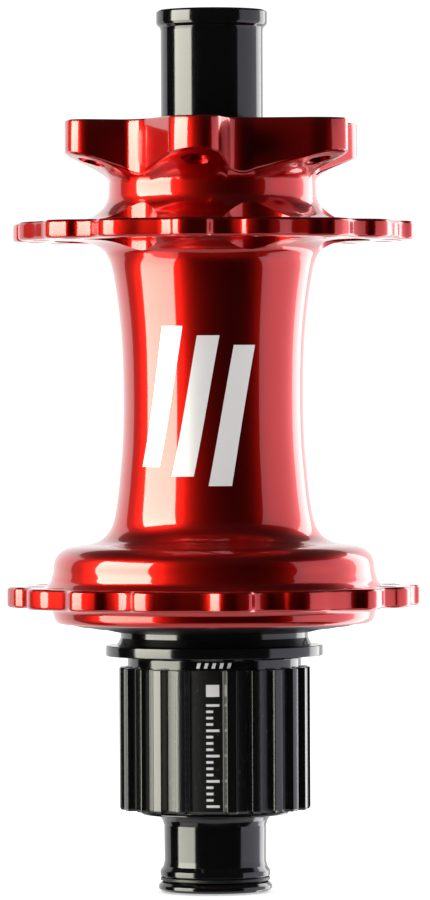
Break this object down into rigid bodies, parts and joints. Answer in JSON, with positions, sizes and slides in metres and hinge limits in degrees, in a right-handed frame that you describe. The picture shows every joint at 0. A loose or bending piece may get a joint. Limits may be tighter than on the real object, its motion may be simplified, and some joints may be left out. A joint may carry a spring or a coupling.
{
  "type": "bicycle rear hub",
  "caption": "Bicycle rear hub with scalloped spoke flanges, a star-shaped disc brake mount, push-on end caps and a splined freewheeling driver.",
  "frame": {"origin": "on the hub axis, midway between the two end faces", "axes": "+Z along the hub axis towards the disc brake side; -Y is the side the hub is viewed from"},
  "size_m": [0.0698, 0.0698, 0.148],
  "materials": {
    "red_anodised": "polished red anodised aluminium",
    "black_anodised": "satin black anodised aluminium",
    "plain_alloy": "turned aluminium",
    "bearing_steel": "ground bearing steel",
    "tool_steel": "hardened steel",
    "spring_steel": "spring strip",
    "seal_rubber": "black rubber seal",
    "caged_balls": "polished balls in a cage"
  },
  "bodies": {
    "axle_group": {"axle": "plain_alloy", "nds_end_cap": "black_anodised", "ds_end_cap": "black_anodised", "nds_cap_oring": "seal_rubber", "ds_cap_oring": "seal_rubber", "ds_cap_grip_ring": "seal_rubber", "nds_dust_shield": "black_anodised", "drive_side_spacer": "plain_alloy", "freehub_spacer": "plain_alloy", "nds_bearing_inner_race": "bearing_steel", "nds_bearing_balls": "caged_balls", "ds_bearing_inner_race": "bearing_steel", "ds_bearing_balls": "caged_balls", "freehub_inner_bearing_inner_race": "bearing_steel", "freehub_inner_bearing_balls": "caged_balls", "freehub_outer_bearing_inner_race": "bearing_steel", "freehub_outer_bearing_balls": "caged_balls"},
    "shell_group": {"hub_shell": "red_anodised", "drive_ring": "tool_steel", "nds_bearing_outer_race": "bearing_steel", "nds_bearing_seal": "seal_rubber", "ds_bearing_outer_race": "bearing_steel", "ds_bearing_seal": "seal_rubber"},
    "freehub_group": {"freehub_body": "black_anodised", "freehub_seal": "seal_rubber", "freehub_inner_bearing_outer_race": "bearing_steel", "freehub_inner_bearing_seal": "seal_rubber", "freehub_outer_bearing_outer_race": "bearing_steel", "freehub_outer_bearing_seal": "seal_rubber", "pawl_spring_1": "spring_steel", "pawl_spring_2": "spring_steel", "pawl_spring_3": "spring_steel", "pawl_spring_4": "spring_steel", "pawl_spring_5": "spring_steel", "pawl_spring_6": "spring_steel"},
    "pawl_1_group": {"pawl_1": "tool_steel"},
    "pawl_2_group": {"pawl_2": "tool_steel"},
    "pawl_3_group": {"pawl_3": "tool_steel"},
    "pawl_4_group": {"pawl_4": "tool_steel"},
    "pawl_5_group": {"pawl_5": "tool_steel"},
    "pawl_6_group": {"pawl_6": "tool_steel"}
  },
  "joints": [
    {"name": "shell_spin", "type": "hinge", "parent": "axle_group", "child": "shell_group", "pos_m": [0, 0, 0], "axis": [0, 0, 1], "continuous": true},
    {"name": "freehub_spin", "type": "hinge", "parent": "axle_group", "child": "freehub_group", "pos_m": [0, 0, 0], "axis": [0, 0, 1], "continuous": true},
    {"name": "pawl_1_pivot", "type": "hinge", "parent": "freehub_group", "child": "pawl_1_group", "pos_m": [0.00865, -0.01498, -0.0231], "axis": [0, 0, 1], "range_deg": [0, 8], "stiffness_Nm_per_rad": 0.01, "springref_deg": -20.05},
    {"name": "pawl_2_pivot", "type": "hinge", "parent": "freehub_group", "child": "pawl_2_group", "pos_m": [0.0173, 0, -0.0231], "axis": [0, 0, 1], "range_deg": [0, 8], "stiffness_Nm_per_rad": 0.01, "springref_deg": -20.05},
    {"name": "pawl_3_pivot", "type": "hinge", "parent": "freehub_group", "child": "pawl_3_group", "pos_m": [0.00865, 0.01498, -0.0231], "axis": [0, 0, 1], "range_deg": [0, 8], "stiffness_Nm_per_rad": 0.01, "springref_deg": -20.05},
    {"name": "pawl_4_pivot", "type": "hinge", "parent": "freehub_group", "child": "pawl_4_group", "pos_m": [-0.00865, 0.01498, -0.0231], "axis": [0, 0, 1], "range_deg": [0, 8], "stiffness_Nm_per_rad": 0.01, "springref_deg": -20.05},
    {"name": "pawl_5_pivot", "type": "hinge", "parent": "freehub_group", "child": "pawl_5_group", "pos_m": [-0.0173, 0, -0.0231], "axis": [0, 0, 1], "range_deg": [0, 8], "stiffness_Nm_per_rad": 0.01, "springref_deg": -20.05},
    {"name": "pawl_6_pivot", "type": "hinge", "parent": "freehub_group", "child": "pawl_6_group", "pos_m": [-0.00865, -0.01498, -0.0231], "axis": [0, 0, 1], "range_deg": [0, 8], "stiffness_Nm_per_rad": 0.01, "springref_deg": -20.05}
  ]
}
